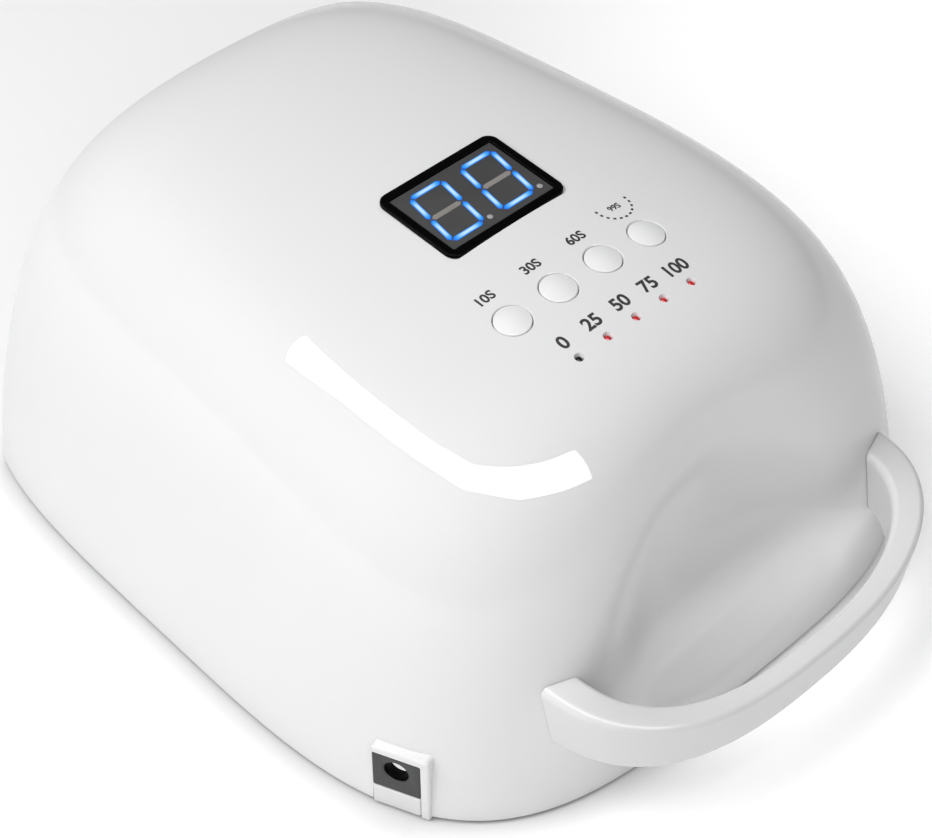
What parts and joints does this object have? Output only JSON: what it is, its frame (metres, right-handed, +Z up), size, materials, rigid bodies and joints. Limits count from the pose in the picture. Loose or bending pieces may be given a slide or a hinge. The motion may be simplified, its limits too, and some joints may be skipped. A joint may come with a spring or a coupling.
{
  "type": "uv led nail lamp",
  "caption": "Cordless curing lamp with a domed glossy shell, open front arch for the hand, rear carrying handle, digital timer display, push buttons and battery level lights.",
  "frame": {"origin": "centre of the bounding box on the table, under the feet", "axes": "+Z up, -Y to the front where the hand goes in, +Y to the handle, +X to the side with the charging socket"},
  "size_m": [0.1854, 0.2141, 0.1012],
  "materials": {
    "white_shell": "glossy injection-moulded white ABS",
    "button_white": "glossy white caps",
    "display_black": "glossy black frame",
    "display_face": "matt dark grey display face",
    "digit_blue": "lit blue segments",
    "black_plastic": "moulded black plastic",
    "level_red": "red indicator lens",
    "circuit_board": "green solder mask",
    "steel": "plated steel",
    "reflector": "bright metallised lining",
    "mirror_plate": "polished steel plate",
    "light_board": "white solder mask with light beads",
    "clear_lens": "clear epoxy lens",
    "rubber": "matt black rubber",
    "socket_grey": "dark grey moulded socket",
    "cell_wrap": "shrink wrap"
  },
  "bodies": {
    "lamp": {"base_ring": "white_shell", "base_screw_1": "steel", "base_screw_2": "steel", "base_screw_3": "steel", "base_screw_4": "steel", "battery_cell_1": "cell_wrap", "battery_cell_2": "cell_wrap", "battery_cell_3": "cell_wrap", "battery_cell_4": "cell_wrap", "battery_tray": "black_plastic", "board_screw_1": "steel", "board_screw_2": "steel", "board_screw_3": "steel", "board_screw_4": "steel", "control_board": "circuit_board", "digit_tens": "digit_blue", "digit_units": "digit_blue", "display_frame": "display_black", "display_module": "display_face", "driver_board": "circuit_board", "foot_1": "rubber", "foot_2": "rubber", "foot_3": "rubber", "foot_4": "rubber", "hand_sensor_emitter": "clear_lens", "hand_sensor_receiver": "black_plastic", "handle": "white_shell", "handle_screw_plain": "steel", "handle_screw_socket": "steel", "level_light_1": "level_red", "level_light_2": "level_red", "level_light_3": "level_red", "level_light_4": "level_red", "level_light_5": "level_red", "magnet_1": "steel", "magnet_2": "steel", "magnet_3": "steel", "magnet_4": "steel", "reflector_lining": "reflector", "socket_body": "socket_grey", "socket_pin": "steel", "switch_10s": "black_plastic", "switch_30s": "black_plastic", "switch_60s": "black_plastic", "switch_99s": "black_plastic", "top_shell": "white_shell", "uv_board_back": "light_board", "uv_board_side_plain": "light_board", "uv_board_side_socket": "light_board", "uv_board_top": "light_board"},
    "key_10s": {"button_10s": "button_white"},
    "key_30s": {"button_30s": "button_white"},
    "key_60s": {"button_60s": "button_white"},
    "key_99s": {"button_99s": "button_white"},
    "floor_plate": {"base_plate": "mirror_plate"}
  },
  "joints": [
    {"name": "press_10s", "type": "slide", "parent": "lamp", "child": "key_10s", "axis": [0, -0.0767, -0.9971], "range_m": [0, 0.0006], "stiffness_N_per_m": 2000},
    {"name": "press_30s", "type": "slide", "parent": "lamp", "child": "key_30s", "axis": [0, -0.0767, -0.9971], "range_m": [0, 0.0006], "stiffness_N_per_m": 2000},
    {"name": "press_60s", "type": "slide", "parent": "lamp", "child": "key_60s", "axis": [0, -0.0767, -0.9971], "range_m": [0, 0.0006], "stiffness_N_per_m": 2000},
    {"name": "press_99s", "type": "slide", "parent": "lamp", "child": "key_99s", "axis": [0, -0.0767, -0.9971], "range_m": [0, 0.0006], "stiffness_N_per_m": 2000},
    {"name": "plate_pull_off", "type": "slide", "parent": "lamp", "child": "floor_plate", "axis": [0, 0, -1], "range_m": [0, 0.03]}
  ]
}
